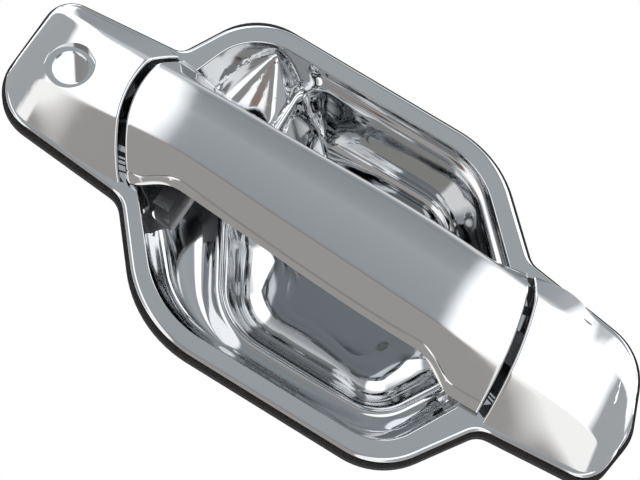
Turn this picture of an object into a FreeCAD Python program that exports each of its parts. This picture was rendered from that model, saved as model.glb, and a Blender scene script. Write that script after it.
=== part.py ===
import FreeCAD, Part
import math
import os

# Car door handle for the front right door: chrome bezel with finger bowl, pull strap and latch lever.
# Drawn lying on its back, in millimetres: x along the handle, y up the door, z out of the door.
# z = 0 is the door skin. Every shape is stood up, with the car's up as +Z, when it is saved.

Vector = FreeCAD.Vector

# overall sizes
handleLength = 237.0
bowlHeight = 114.6
bowlMiddleY = -0.9

# end blocks of the bezel; the rear one holds the key hole, the front one holds the hinge
rearBlockLength = 41.5
frontBlockLength = 44.5
blockLow = -22.5
blockHigh = 28.6
blockCrown = 22.0
strapCrown = 27.5
strapLow = -23.5
strapHigh = 20.5

# walls
skin = 2.5
flangeThick = 3.0
flangeRound = 2.0
gasketThick = 3.0
gasketLip = 1.3
gasketGap = 0.3

# gap between strap and end blocks
gapWidth = 2.5
rearGapRadius = 43.0
rearGapMiddleY = 9.0
frontGapRadius = 124.5
frontGapMiddleY = -24.3
footGap = 0.8

# finger bowl
flangeWidth = 6.5
dishFloor = -9.0
dishSlope = 8.0
dishBulge = 0.45
pocketFloor = -25.0
pocketSlope = 5.0
pocketMouthFlare = 1.5
pocketTopMargin = 3.5
pocketLowMargin = 13.0

# strap
linerThick = 3.5
archRise = 6.2
plateThick = 2.0
screwBite = 5.0
rearFootLength = 17.5
frontFootLength = 13.0
archRun = 11.0
footBend = 5.0
archFrontBend = 10.0
archRearBend = 12.0
screwRadius = 1.4
screwHeadRadius = 3.0
screwHeadThick = 1.8
screwBossRadius = 3.6
socketRadius = 1.35
socketDepth = 1.1
rearScrewSetback = 47.0
frontScrewSetback = 42.0
armScrewSetback = 28.0
armScrewOffset = 6.0
screwMargin = 4.0
bossCover = 0.5

# strap hinge: an upright pin inside the front block
hingeSetback = 14.0
hingeZ = 9.0
hingePinRadius = 2.5
hingeKnuckleRadius = 5.0
hingeBushWall = 1.0
hingeBushFlange = 0.8
hingeLow = -8.5
hingeHigh = 5.5
hingeEarThick = 3.0
hingeEarHalfWidth = 5.0
armThick = 5.0
armHalfWidth = 9.0
armPlateRear = 33.0
armPlateFront = 18.0
armBendRear = 20.0
armBendFront = 8.0
armBackRear = 12.0
armBackFront = 5.0
armBend = 4.0
openingGap = 1.5
openingRise = 3.5
openingReach = 3.0
runningGap = 0.06
pinOverhang = 0.6
pinTail = 2.0
pinHead = 1.5
ringGap = 0.2
ringThick = 0.8
ringDepth = 0.5
ringWall = 1.6
ringMouth = 2.6
bushRim = 0.5
endPlay = 0.3

# pull leg, which goes through the bowl and carries the hook
legSetback = 27.5
legThick = 6.0
legLow = -20.0
legHigh = 1.0
legShoulderZ = 3.0
legNeckLow = -6.0
legNeckHigh = 6.0
legPlateHigh = 13.0
legPlateLength = 12.0
legNeckOverlap = 4.0
hookHigh = 5.0
hookJaw = 4.0
slotGap = 1.2
jawPlay = 0.9
jawLip = 3.0

# latch lever behind the bowl
leverReach = 30.0
leverSwing = 40.68
leverNoseY = 1.0
leverNoseZ = -37.2
leverNoseRadius = 2.4
leverNoseWall = 1.2
leverNoseOverhang = 1.0
leverHubTaper = 0.8
leverHubRadius = 6.0
leverHubLength = 10.6
leverArmThick = 4.0
leverPinRadius = 2.5
leverBushWall = 1.2
leverBushFlange = 0.8
leverEarThick = 3.5
leverEarHalfWidth = 7.0
clipArmReach = 18.0
springWire = 1.4
springCoilRadius = 5.0
springTurns = 3.0
springPlay = 0.2
springGap = 0.1

# clip that takes the end of the latch rod
rodRadius = 2.5
rodFit = 0.1
clipBushRadius = 3.5
clipFlangeRadius = 5.5
clipFlangeThick = 2.5
clipArmLength = 20.0
clipArmWidth = 6.0
clipEyeWall = 2.0
clipGap = 0.2
clipTail = 1.0
clipSaddleLength = 6.0
clipSaddleWall = 1.0

# key hole
keyRadius = 8.3
keySeatRadius = 6.0
keySetback = 21.0
keyY = 0.0
keySeatDepth = 4.0
keySleeveDepth = 12.0

# studs that hold the handle to the door
studRadius = 3.0
studLength = 22.0
studGrip = 10.0
studBossRadius = 5.2
studY = 2.0
rearStudSetback = 38.5
frontStudSetback = 13.5
studShankRadius = 3.6

# rubber rests under the strap's rear foot
restRadius = 2.5
restHeight = 3.0
restPlay = 0.05
restFit = 0.4
restSetback = 8.0
restHighY = 17.0

# worked out from the sizes above
rearTip = -handleLength / 2
frontTip = handleLength / 2
rearGapX = rearTip + rearBlockLength
frontGapX = frontTip - frontBlockLength
flangeTop = gasketThick + flangeThick
footZ = flangeTop + footGap
bowlTop = bowlMiddleY + bowlHeight / 2
bowlBottom = bowlMiddleY - bowlHeight / 2
hingeX = frontGapX + hingeSetback
archTop = footZ + archRise
plateLow = archTop + linerThick
plateTop = plateLow + plateThick
strapTipZ = plateLow + screwBite
originX = (rearTip + rearStudSetback + frontTip - frontStudSetback) / 2
far = 300.0
bite = 1.0


def stand(shape):
    """From the drawing to the car: the origin is midway between the studs, on the door skin."""
    turned = shape.copy()
    turned.translate(Vector(-originX, -studY, 0))
    turned.rotate(Vector(0, 0, 0), Vector(1, 0, 0), 90)
    return turned


def save(node, shape):
    solids = shape.Solids
    whole = solids[0] if len(solids) == 1 else Part.makeCompound(solids)
    stand(whole).exportStep("parts/" + node + ".step")
    print(node, len(solids), "solid(s)", round(whole.Volume), "mm3", whole.isValid())


# ---- outlines with rounded corners ----

def inXY(z):
    return lambda u, v: Vector(u, v, z)


def inYZ(x):
    return lambda u, v: Vector(x, u, v)


def inXZ(y):
    return lambda u, v: Vector(u, y, v)


def roundedWire(corners, place):
    """Closed wire through (u, v, radius) corners; place turns u, v into a point in space."""
    arcs = []
    for number, (u, v, radius) in enumerate(corners):
        before = corners[number - 1]
        after = corners[(number + 1) % len(corners)]
        corner = Vector(u, v, 0)
        back = Vector(before[0], before[1], 0) - corner
        ahead = Vector(after[0], after[1], 0) - corner
        half = back.getAngle(ahead) / 2
        cut = min(radius / math.tan(half), 0.46 * min(back.Length, ahead.Length))
        fitted = cut * math.tan(half)
        back.normalize()
        ahead.normalize()
        bisector = back + ahead
        bisector.normalize()
        middle = corner + bisector * (fitted / math.sin(half) - fitted)
        arcs.append([corner + back * cut, middle, corner + ahead * cut])
    edges = []
    for number, arc in enumerate(arcs):
        start, middle, end = [place(point.x, point.y) for point in arc]
        following = arcs[(number + 1) % len(arcs)][0]
        edges.append(Part.Arc(start, middle, end).toShape())
        edges.append(Part.LineSegment(end, place(following.x, following.y)).toShape())
    return Part.Wire(edges)


def inset(corners, distance):
    """The same outline with every side moved inwards."""
    area = 0.0
    for number, (u, v, radius) in enumerate(corners):
        before = corners[number - 1]
        area += before[0] * v - u * before[1]
    sense = 1.0 if area > 0 else -1.0
    moved = []
    for number, (u, v, radius) in enumerate(corners):
        before = corners[number - 1]
        after = corners[(number + 1) % len(corners)]
        sideIn = Vector(u - before[0], v - before[1], 0)
        sideOut = Vector(after[0] - u, after[1] - v, 0)
        sideIn.normalize()
        sideOut.normalize()
        normalIn = Vector(-sideIn.y, sideIn.x, 0) * sense
        normalOut = Vector(-sideOut.y, sideOut.x, 0) * sense
        shift = (normalIn + normalOut) * (distance / (1 + normalIn.dot(normalOut)))
        outward = (sideIn.x * sideOut.y - sideIn.y * sideOut.x) * sense > 0
        newRadius = max(radius - distance, 1.0) if outward else radius + distance
        moved.append((u + shift.x, v + shift.y, newRadius))
    return moved


def slab(corners, low, high):
    face = Part.Face(roundedWire(corners, inXY(low)))
    return face.extrude(Vector(0, 0, high - low))


def loftXY(rings):
    """Solid through outlines, each given with its height."""
    wires = [roundedWire(corners, inXY(z)) for corners, z in rings]
    return Part.makeLoft(wires, True, True)


def box(x0, x1, y0, y1, z0, z1):
    return Part.makeBox(x1 - x0, y1 - y0, z1 - z0, Vector(x0, y0, z0))


def rod(radius, start, end):
    along = end - start
    return Part.makeCylinder(radius, along.Length, start, along)


def tube(outer, inner, start, end):
    return rod(outer, start, end).cut(rod(inner, start, end))


# ---- outlines of the handle ----

def bezelOutline():
    return [
        (rearTip + 0.9, blockHigh - 3.7, 8.5),
        (rearGapX + 4.0, blockHigh + 0.6, 6.0),
        (rearGapX + 17.5, bowlTop, 26.0),
        (frontGapX - 39.8, bowlTop, 37.0),
        (frontGapX - 11.5, blockHigh + 0.3, 8.0),
        (frontTip - 9.8, blockHigh - 6.5, 20.0),
        (frontTip + 0.3, -4.5, 14.0),
        (frontTip - 2.5, blockLow - 2.5, 8.5),
        (frontGapX + 2.8, blockLow - 5.9, 8.0),
        (frontGapX - 16.6, bowlBottom, 24.0),
        (rearGapX + 43.8, bowlBottom, 44.0),
        (rearGapX + 15.5, blockLow - 2.1, 10.0),
        (rearTip + 1.5, blockLow + 2.3, 17.0),
    ]


def bowlMouth():
    return [
        (rearGapX + 19.5, bowlTop - flangeWidth, 20.0),
        (frontGapX - 42.5, bowlTop - flangeWidth, 31.0),
        (frontGapX - 8.0, 15.5, 12.0),
        (frontGapX - 6.5, -26.0, 6.0),
        (frontGapX - 20.0, bowlBottom + flangeWidth, 18.0),
        (rearGapX + 46.5, bowlBottom + flangeWidth, 38.0),
        (rearGapX + 17.0, -18.0, 8.0),
        (rearGapX + 11.0, 24.0, 8.0),
    ]


def pocketMouth():
    return [
        (rearGapX + 44.0, bowlTop - flangeWidth - pocketTopMargin, 7.0),
        (frontGapX - 44.0, bowlTop - flangeWidth - pocketTopMargin, 28.0),
        (frontGapX - 13.0, 15.0, 12.0),
        (frontGapX - 14.0, -14.0, 14.0),
        (frontGapX - 28.0, bowlBottom + flangeWidth + pocketLowMargin, 16.0),
        (rearGapX + 65.0, bowlBottom + flangeWidth + pocketLowMargin, 24.0),
        (rearGapX + 47.0, -8.0, 16.0),
    ]


# ---- the bar: one domed shape that the two blocks and the strap share ----

def barStations():
    """x, low foot, low crease, high crease, high foot, crease height, crown height"""
    return [
        (rearTip + 1.6, blockLow + 18.5, blockLow + 21.5, blockHigh - 12.6, blockHigh - 9.6, 7.5, 8.5),
        (rearTip + 7.0, blockLow + 7.0, blockLow + 14.5, blockHigh - 10.6, blockHigh - 4.4, 14.5, 16.0),
        (rearTip + 18.5, blockLow + 2.0, blockLow + 13.0, blockHigh - 11.6, blockHigh - 2.0, 18.5, 20.5),
        (rearGapX - 3.0, blockLow, blockLow + 14.0, blockHigh - 13.1, blockHigh, blockCrown - 2, blockCrown),
        (rearGapX + 21.0, blockLow + 0.6, blockLow + 14.6, blockHigh - 12.4, blockHigh - 2.6,
         strapCrown - 6.0, strapCrown - 3.5),
        (rearGapX + 52.0, strapLow + 2.0, strapLow + 14.0, strapHigh - 4.0, strapHigh,
         strapCrown - 4.0, strapCrown - 1.0),
        (frontGapX - 59.0, strapLow, strapLow + 12.0, strapHigh - 3.5, strapHigh,
         strapCrown - 3.0, strapCrown),
        (frontGapX - 24.0, strapLow - 2.5, strapLow + 11.0, strapHigh - 4.5, strapHigh + 2.5,
         strapCrown - 4.5, strapCrown - 2.0),
        (frontGapX + 2.0, blockLow - 5.0, blockLow + 10.0, blockHigh - 14.6, blockHigh - 1.1,
         blockCrown - 2, blockCrown),
        (frontTip - 24.0, blockLow - 3.6, blockLow + 9.8, blockHigh - 17.6, blockHigh - 5.1, 17.5, 19.5),
        (frontTip - 9.0, blockLow - 1.8, blockLow + 9.5, blockHigh - 22.6, blockHigh - 10.0, 13.0, 14.8),
        (frontTip - 1.2, blockLow + 6.0, blockLow + 11.5, blockLow + 16.5, blockLow + 21.5, 7.5, 8.5),
    ]


def barSection(station, baseZ, wall):
    x, lowFoot, lowCrease, highCrease, highFoot, creaseZ, crownZ = station
    corners = [
        (lowFoot + wall, baseZ, 0.5),
        (highFoot - wall, baseZ, 0.5),
        (highCrease - wall * 0.6, creaseZ - wall, 4.0),
        ((lowCrease + highCrease) / 2, crownZ - wall, 60.0),
        (lowCrease + wall * 0.6, creaseZ - wall, 2.5),
    ]
    return roundedWire(corners, inYZ(x))


def bar(first, last, baseZ, wall=0.0):
    wires = [barSection(station, baseZ, wall) for station in barStations()[first:last + 1]]
    return Part.makeLoft(wires, True, False)


def frontOfRearGap(radius):
    """Everything on the strap's side of the rear gap's curved face."""
    centreX = rearGapX + rearGapRadius
    disc = Part.makeCylinder(radius, far, Vector(centreX, rearGapMiddleY, -far / 2))
    return disc.fuse(box(centreX, far, -far, far, -far / 2, far / 2))


def rearOfFrontGap(radius):
    """Everything on the strap's side of the front gap's curved face."""
    centreX = frontGapX + gapWidth - frontGapRadius
    disc = Part.makeCylinder(radius, far, Vector(centreX, frontGapMiddleY, -far / 2))
    return disc.fuse(box(-far, centreX, -far, far, -far / 2, far / 2))


def rearBlock(wall=0.0):
    baseZ = flangeTop - bite if wall == 0 else -bite
    return bar(0, 4, baseZ, wall).cut(frontOfRearGap(rearGapRadius + wall))


def frontBlock(wall=0.0):
    baseZ = flangeTop - bite if wall == 0 else -bite
    return bar(7, 11, baseZ, wall).cut(rearOfFrontGap(frontGapRadius + wall))


# ---- bezel ----

def bowl(wall):
    """The bowl's hollow, or with a wall the solid around it."""
    mouth = inset(bowlMouth(), -wall)
    pocket = inset(pocketMouth(), -wall)
    dish = loftXY([
        (mouth, flangeTop if wall else flangeTop + bite),
        (mouth, gasketThick),
        (inset(mouth, dishSlope * dishBulge), (gasketThick + dishFloor) / 2 - wall),
        (inset(mouth, dishSlope), dishFloor - wall),
    ])
    finger = loftXY([
        (inset(pocket, -pocketMouthFlare), gasketThick),
        (pocket, dishFloor - wall),
        (inset(pocket, pocketSlope), pocketFloor - wall),
    ])
    return dish.fuse(finger)


def flange():
    plate = slab(bezelOutline(), gasketThick, flangeTop)
    rim = [edge for edge in plate.Edges
           if abs(edge.BoundBox.ZMin - flangeTop) < 1e-4 and abs(edge.BoundBox.ZMax - flangeTop) < 1e-4]
    return plate.makeFillet(flangeRound, rim)


def keyAxis(z):
    return Vector(rearTip + keySetback, keyY, z)


def studAxes(z):
    return [Vector(rearTip + rearStudSetback, studY, z), Vector(frontTip - frontStudSetback, studY, z)]


def hingePoint(y):
    return Vector(hingeX, y, hingeZ)


def armLow():
    return hingeLow + hingeBushFlange + endPlay


def armHigh():
    return hingeHigh - hingeBushFlange - endPlay


def hingeEars():
    ears = []
    for low in (hingeLow - hingeEarThick, hingeHigh):
        ears.append(box(hingeX - hingeEarHalfWidth, hingeX + hingeEarHalfWidth,
                        low, low + hingeEarThick, hingeZ - hingeEarHalfWidth, far / 2))
    return ears[0].fuse(ears[1])


def leverPivot(x):
    drop = leverReach * math.sin(math.radians(leverSwing / 2))
    run = leverReach * math.cos(math.radians(leverSwing / 2))
    return Vector(x, leverNoseY + run, leverNoseZ + drop)


def leverPoint(x, reach, degrees):
    """Point of the resting lever, with the angle from the nose arm's middle position."""
    angle = math.radians(degrees)
    return leverPivot(x) + Vector(0, -math.cos(angle), math.sin(angle)) * reach


def legX(z, radiusShift=0.0):
    radius = hingeX - (rearGapX + legSetback) + radiusShift
    return hingeX - math.sqrt(radius ** 2 - (z - hingeZ) ** 2)


def springPitch():
    return springWire + springGap


def springLength():
    return springPitch() * springTurns + springWire


def leverStations():
    """Places along the lever pin, from the rear ear to the front one."""
    middle = legX(leverNoseZ) - legThick
    hubRear = middle - leverHubLength
    return {
        "earRear": hubRear - leverBushFlange - endPlay - leverEarThick,
        "hubRear": hubRear,
        "hubFront": middle,
        "springRear": middle + leverBushFlange + endPlay,
        "earFront": middle + leverBushFlange + endPlay + springLength() + 2 * springPlay,
    }


def leverEars():
    at = leverStations()
    pivot = leverPivot(0)
    ears = []
    for low in (at["earRear"], at["earFront"]):
        upright = box(low, low + leverEarThick, pivot.y - leverEarHalfWidth, pivot.y + leverEarHalfWidth,
                      pivot.z, gasketThick)
        ears.append(upright.fuse(rod(leverEarHalfWidth, Vector(low, pivot.y, pivot.z),
                                     Vector(low + leverEarThick, pivot.y, pivot.z))))
    return ears[0].fuse(ears[1])


def legSlot():
    rear = legX(dishFloor, legThick / 2) - slotGap
    front = legX(dishFloor - skin, -legThick / 2) + slotGap
    return box(rear, front, legLow - slotGap, hookHigh + slotGap, dishFloor - 3 * skin, flangeTop)


def armOpening():
    """Way through the front block's end wall for the hinge arm."""
    top = hingeZ + armThick / 2 + openingRise
    return box(frontGapX - gapWidth, frontGapX + gapWidth + skin + openingReach,
               armLow() - openingGap, armHigh() + openingGap, flangeTop, top)


def bezel():
    sleeve = rod(keyRadius + skin, keyAxis(-keySleeveDepth), keyAxis(blockCrown))
    bosses = [rod(studBossRadius, low, high) for low, high in zip(studAxes(0.0), studAxes(blockCrown))]
    outside = rearBlock().fuse(frontBlock())
    inside = rearBlock(skin).fuse(frontBlock(skin))
    fittings = sleeve.fuse(bosses + [hingeEars()])
    belowSkin = box(-far, far, -far, far, -far, flangeTop)
    shell = flange().fuse(outside).cut(inside)
    shell = shell.fuse(fittings.common(outside.fuse(belowSkin)))
    shell = shell.fuse([bowl(skin), leverEars()]).cut(bowl(0.0))
    shell = shell.cut([legSlot(), armOpening()])
    shell = shell.cut(rod(keySeatRadius, keyAxis(-far), keyAxis(far)))
    shell = shell.cut(rod(keyRadius, keyAxis(blockCrown - keySeatDepth), keyAxis(far)))
    shell = shell.cut(rod(keyRadius, keyAxis(-far), keyAxis(blockCrown - keySeatDepth - skin)))
    shell = shell.cut([rod(studShankRadius, low, high)
                       for low, high in zip(studAxes(-bite), studAxes(studGrip))])
    shell = shell.cut(rod(hingePinRadius, hingePoint(hingeLow - 2 * hingeEarThick),
                          hingePoint(hingeHigh + 2 * hingeEarThick)))
    at = leverStations()
    shell = shell.cut(rod(leverPinRadius, leverPivot(at["earRear"] - 1),
                          leverPivot(at["earFront"] + leverEarThick + 1)))
    return shell


def gasket():
    outer = slab(inset(bezelOutline(), -gasketLip), 0.0, gasketThick)
    window = slab(inset(bezelOutline(), flangeWidth - skin - gasketGap), -1.0, gasketThick + 1.0)
    return outer.cut([window, bowl(skin + gasketGap)])


def studs():
    """Threaded ends below the door skin, each with a thicker shank pressed into its boss."""
    made = []
    for tip, root, end in zip(studAxes(-studLength), studAxes(0.0), studAxes(studGrip)):
        made.append(rod(studRadius, tip, root).fuse(rod(studShankRadius, root, end)))
    return Part.makeCompound(made)


# ---- strap ----

def belowArch(lift):
    """Everything under the strap's lower surface, moved up by lift."""
    rear = rearGapX + rearFootLength
    front = frontGapX - frontFootLength
    corners = [
        (-far, -far, 1.0),
        (far, -far, 1.0),
        (far, footZ + lift, 1.0),
        (front, footZ + lift, footBend),
        (front - archRun, footZ + archRise + lift, archFrontBend),
        (rear + archRun, footZ + archRise + lift, archRearBend),
        (rear, footZ + lift, footBend),
        (-far, footZ + lift, 1.0),
    ]
    face = Part.Face(roundedWire(corners, inXZ(-far / 2)))
    return face.extrude(Vector(0, far, 0))


def strapBody(wall=0.0):
    body = bar(3, 8, 0.0, wall)
    body = body.common(frontOfRearGap(rearGapRadius - gapWidth - wall))
    return body.common(rearOfFrontGap(frontGapRadius - gapWidth - wall))


def strapScrewAxes(z):
    return [Vector(rearGapX + rearScrewSetback, 0.0, z), Vector(frontGapX - frontScrewSetback, 0.0, z)]


def legScrewAxes(z):
    x = legX(plateLow) + legPlateLength - screwMargin
    return [Vector(x, y, z) for y in (legNeckLow + screwMargin, legPlateHigh - screwMargin)]


def armScrewAxes(z):
    return [Vector(frontGapX - armScrewSetback, y, z) for y in (-armScrewOffset, armScrewOffset)]


def screws(axes, headZ, tipZ):
    made = []
    for low, high in zip(axes(headZ), axes(tipZ)):
        head = rod(screwHeadRadius, low, low + Vector(0, 0, screwHeadThick))
        socket = rod(socketRadius, low, low + Vector(0, 0, socketDepth))
        made.append(head.cut(socket).fuse(rod(screwRadius, low + Vector(0, 0, screwHeadThick), high)))
    return Part.makeCompound(made)


def screwHoles(axes, headZ, tipZ):
    holes = [rod(screwRadius, low, high) for low, high in zip(axes(headZ), axes(tipZ))]
    seats = [rod(screwHeadRadius, low, low + Vector(0, 0, screwHeadThick + 1.0))
             for low in axes(headZ - 1.0)]
    return holes + seats


def rests(extra=0.0, lift=0.0):
    places = [(rearGapX + restSetback, 0.0), (rearGapX + restSetback, restHighY)]
    return [rod(restRadius + extra, Vector(x, y, flangeTop), Vector(x, y, flangeTop + restHeight + lift))
            for x, y in places]


def strapCover():
    cover = strapBody().cut(belowArch(linerThick))
    hollow = strapBody(skin)
    bosses = [rod(screwBossRadius, low, high)
              for low, high in zip(strapScrewAxes(archTop), strapScrewAxes(far / 2))]
    bosses = [boss.common(strapBody(bossCover)).cut(belowArch(linerThick)) for boss in bosses]
    cover = cover.cut(hollow).fuse(bosses)
    cover = cover.cut(screwHoles(strapScrewAxes, archTop, strapTipZ))
    return cover.cut(hingeArmBlank())


def strapLiner():
    liner = strapBody().common(belowArch(linerThick)).cut(belowArch(0.0))
    liner = liner.cut(legBlank())
    liner = liner.cut(hingeArmBlank())
    liner = liner.cut(rests(restFit, restPlay))
    liner = liner.cut(screwHoles(strapScrewAxes, archTop, strapTipZ))
    liner = liner.cut(screwHoles(legScrewAxes, archTop, plateTop))
    return liner.cut(screwHoles(armScrewAxes, archTop, plateTop))


def hingeArmBlank():
    """Plate on the liner, a bend down to the pin's height, and the knuckle."""
    plate = box(frontGapX - armPlateRear, frontGapX - armPlateFront, -armHalfWidth, armHalfWidth,
                plateLow, plateTop)
    drop = [
        (frontGapX - armBendRear, plateTop, 0.5),
        (frontGapX - armBendRear, plateLow, 0.5),
        (frontGapX - armBendFront, hingeZ - armThick / 2, armBend),
        (hingeX, hingeZ - armThick / 2, 0.5),
        (hingeX, hingeZ + armThick / 2, 0.5),
        (frontGapX - armBackFront, hingeZ + armThick / 2, armBend),
        (frontGapX - armBackRear, plateTop, armBend / 2),
    ]
    face = Part.Face(roundedWire(drop, inXZ(armLow())))
    web = face.extrude(Vector(0, armHigh() - armLow(), 0))
    knuckle = rod(hingeKnuckleRadius, hingePoint(armLow()), hingePoint(armHigh()))
    return plate.fuse([web, knuckle])


def hingeArm():
    bore = rod(hingePinRadius + hingeBushWall, hingePoint(-far / 2), hingePoint(far / 2))
    return hingeArmBlank().cut([bore] + screwHoles(armScrewAxes, archTop, plateTop + 1.0))


def bush(point, wall, pinRadius, low, high, flangeThickness, flangeRadius):
    """Two flanged bushes pushed in from the ends low and high of a bore."""
    middle = (low + high) / 2
    made = []
    for end, inner in ((low, middle - endPlay), (high, middle + endPlay)):
        outwards = -flangeThickness if end == low else flangeThickness
        barrel = rod(pinRadius + wall, point(end), point(inner))
        flangeDisc = rod(flangeRadius, point(end), point(end + outwards))
        whole = barrel.fuse(flangeDisc)
        made.append(whole.cut(rod(pinRadius + runningGap, point(low - far), point(high + far))))
    return Part.makeCompound(made)


def hingeBushes():
    return bush(hingePoint, hingeBushWall, hingePinRadius, armLow(), armHigh(), hingeBushFlange,
                hingeKnuckleRadius - bushRim)


def hingePin():
    pin = rod(hingePinRadius, hingePoint(hingeLow - hingeEarThick - pinOverhang),
              hingePoint(hingeHigh + hingeEarThick + pinTail))
    return pin.cut(pinGroove(hingePoint, hingeRingY(), hingePinRadius))


def hingeRingY():
    return hingeHigh + hingeEarThick + ringGap


def pinGroove(point, start, radius):
    return tube(radius + ringWall, radius - ringDepth, point(start), point(start + ringThick))


def retainingRing(point, start, radius):
    """Open ring that snaps into a groove near a pin's end."""
    ring = tube(radius + ringWall, radius - ringDepth, point(start), point(start + ringThick))
    centre = point(start)
    mouth = Part.makeBox(ringMouth, ringMouth, far)
    mouth.translate(centre - Vector(ringMouth / 2, ringMouth / 2, far))
    return ring.cut(mouth)


# ---- pull leg and latch lever ----

def legRing(low, high):
    """Part of a tube about the hinge pin, so that the leg passes its slot without moving sideways."""
    radius = hingeX - (rearGapX + legSetback)
    start = Vector(hingeX, low, hingeZ)
    outer = Part.makeCylinder(radius + legThick / 2, high - low, start, Vector(0, 1, 0))
    inner = Part.makeCylinder(radius - legThick / 2, high - low, start, Vector(0, 1, 0))
    return outer.cut(inner)


def legBlank():
    """Neck through the liner, a wide curved leg and a hook that closes round the lever's nose."""
    jawRoom = leverNoseRadius + jawPlay
    hookBottom = leverNoseZ - jawRoom - hookJaw
    hookTop = leverNoseZ + jawRoom + hookJaw
    middleX = hingeX - far
    neck = legRing(legNeckLow, legNeckHigh).common(
        box(middleX, 0.0, legNeckLow, legNeckHigh, legShoulderZ - legNeckOverlap, plateTop))
    leg = legRing(legLow, legHigh).common(box(middleX, 0.0, legLow, legHigh, hookBottom, legShoulderZ))
    hook = legRing(legLow, hookHigh).common(box(middleX, 0.0, legLow, hookHigh, hookBottom, hookTop))
    noseRoom = box(-far, far, leverNoseY - leverNoseRadius - jawLip, far,
                   leverNoseZ - jawRoom, leverNoseZ + jawRoom)
    plateX = legX(plateLow)
    plate = box(plateX, plateX + legPlateLength, legNeckLow, legPlateHigh, plateLow, plateTop)
    return leg.fuse(hook).cut(noseRoom).fuse([neck, plate])


def pullLeg():
    return legBlank().cut(screwHoles(legScrewAxes, archTop, plateTop + 1.0))


def leverArm(x0, x1, reach, degrees, endRadius):
    """Flat tapered arm of the lever from the hub to a rounded end."""
    end = leverPoint(0, reach, degrees)
    pivot = leverPivot(0)
    along = end - pivot
    along.normalize()
    across = Vector(0, -along.z, along.y)
    corners = [pivot + across * leverHubRadius * leverHubTaper, end + across * endRadius,
               end - across * endRadius, pivot - across * leverHubRadius * leverHubTaper]
    wire = Part.makePolygon([Vector(x0, c.y, c.z) for c in corners + corners[:1]])
    web = Part.Face(wire).extrude(Vector(x1 - x0, 0, 0))
    return web.fuse(rod(endRadius, Vector(x0, end.y, end.z), Vector(x1, end.y, end.z)))


def clipPoint(x):
    return leverPoint(x, clipArmReach, -90.0 - leverSwing / 2)


def lever():
    at = leverStations()
    hub = rod(leverHubRadius, leverPivot(at["hubRear"]), leverPivot(at["hubFront"]))
    noseArm = leverArm(at["hubRear"], at["hubRear"] + leverArmThick, leverReach, -leverSwing / 2,
                       leverNoseRadius + leverNoseWall)
    nose = rod(leverNoseRadius, leverPoint(at["hubRear"], leverReach, -leverSwing / 2),
               leverPoint(legX(leverNoseZ) + legThick / 2 + leverNoseOverhang, leverReach, -leverSwing / 2))
    clipArm = leverArm(at["hubFront"] - leverArmThick, at["hubFront"], clipArmReach,
                       -90.0 - leverSwing / 2, clipBushRadius + clipEyeWall)
    whole = hub.fuse([noseArm, nose, clipArm])
    bore = rod(leverPinRadius + leverBushWall, leverPivot(-far), leverPivot(far))
    clipHole = rod(clipBushRadius, clipPoint(-far), clipPoint(far))
    return whole.cut([bore, clipHole])


def leverBushes():
    at = leverStations()
    return bush(leverPivot, leverBushWall, leverPinRadius, at["hubRear"], at["hubFront"],
                leverBushFlange, leverHubRadius - bushRim)


def leverPin():
    at = leverStations()
    end = at["earFront"] + leverEarThick
    pin = rod(leverPinRadius, leverPivot(at["earRear"] - pinTail), leverPivot(end + pinHead / 2))
    head = rod(leverPinRadius + pinHead, leverPivot(end), leverPivot(end + pinHead))
    return pin.fuse(head).cut(pinGroove(leverPivot, leverRingX(), leverPinRadius))


def leverRingX():
    return leverStations()["earRear"] - ringThick - ringGap


def leverSpring():
    at = leverStations()
    coil = Part.makeHelix(springPitch(), springPitch() * springTurns, springCoilRadius)
    start = Vector(springCoilRadius, 0, 0)
    profile = Part.Wire(Part.makeCircle(springWire / 2, start, Vector(0, 1, 0)))
    spring = Part.Wire(coil.Edges).makePipeShell([profile], True, True)
    spring.rotate(Vector(0, 0, 0), Vector(0, 1, 0), 90)
    spring.translate(leverPivot(at["springRear"] + springPlay + springWire / 2))
    return spring


def rodClip():
    at = leverStations()
    front = at["hubFront"]
    face = front + clipGap
    bushBody = rod(clipBushRadius - runningGap, clipPoint(front - leverArmThick - clipTail), clipPoint(face))
    collar = rod(clipFlangeRadius, clipPoint(face), clipPoint(face + clipFlangeThick))
    hanging = clipPoint(0)
    end = hanging.y - clipArmLength
    half = clipArmWidth / 2
    arm = box(face, face + clipFlangeThick, end, hanging.y, hanging.z - half, hanging.z + half)
    half = half + clipSaddleWall
    saddle = box(face, face + clipFlangeThick + 2 * rodRadius, end, end + clipSaddleLength,
                 hanging.z - half, hanging.z + half)
    grooveX = face + clipFlangeThick + rodRadius
    groove = rod(rodRadius + rodFit, Vector(grooveX, end - far, hanging.z),
                 Vector(grooveX, end + far, hanging.z))
    bore = rod(rodRadius + rodFit, clipPoint(front - far), clipPoint(front + far))
    return bushBody.fuse([collar, arm, saddle]).cut([groove, bore])


os.makedirs("parts", exist_ok=True)
save("bezel", bezel())
save("gasket", gasket())
save("mounting_studs", studs())
save("strap_cover", strapCover())
save("strap_liner", strapLiner())
save("strap_screws", screws(strapScrewAxes, archTop, strapTipZ))
save("hinge_arm", hingeArm())
save("arm_screws", screws(armScrewAxes, archTop, plateTop))
save("hinge_bushes", hingeBushes())
save("hinge_pin", hingePin())
save("hinge_pin_ring", retainingRing(hingePoint, hingeRingY(), hingePinRadius))
save("pull_leg", pullLeg())
save("leg_screws", screws(legScrewAxes, archTop, plateTop))
save("strap_rests", Part.makeCompound(rests()))
save("lever", lever())
save("lever_bushes", leverBushes())
save("lever_pin", leverPin())
save("lever_pin_ring", retainingRing(leverPivot, leverRingX(), leverPinRadius))
save("lever_spring", leverSpring())
save("rod_clip", rodClip())
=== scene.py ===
import bpy
import math
import numpy as np
from mathutils import Matrix, Vector


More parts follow.
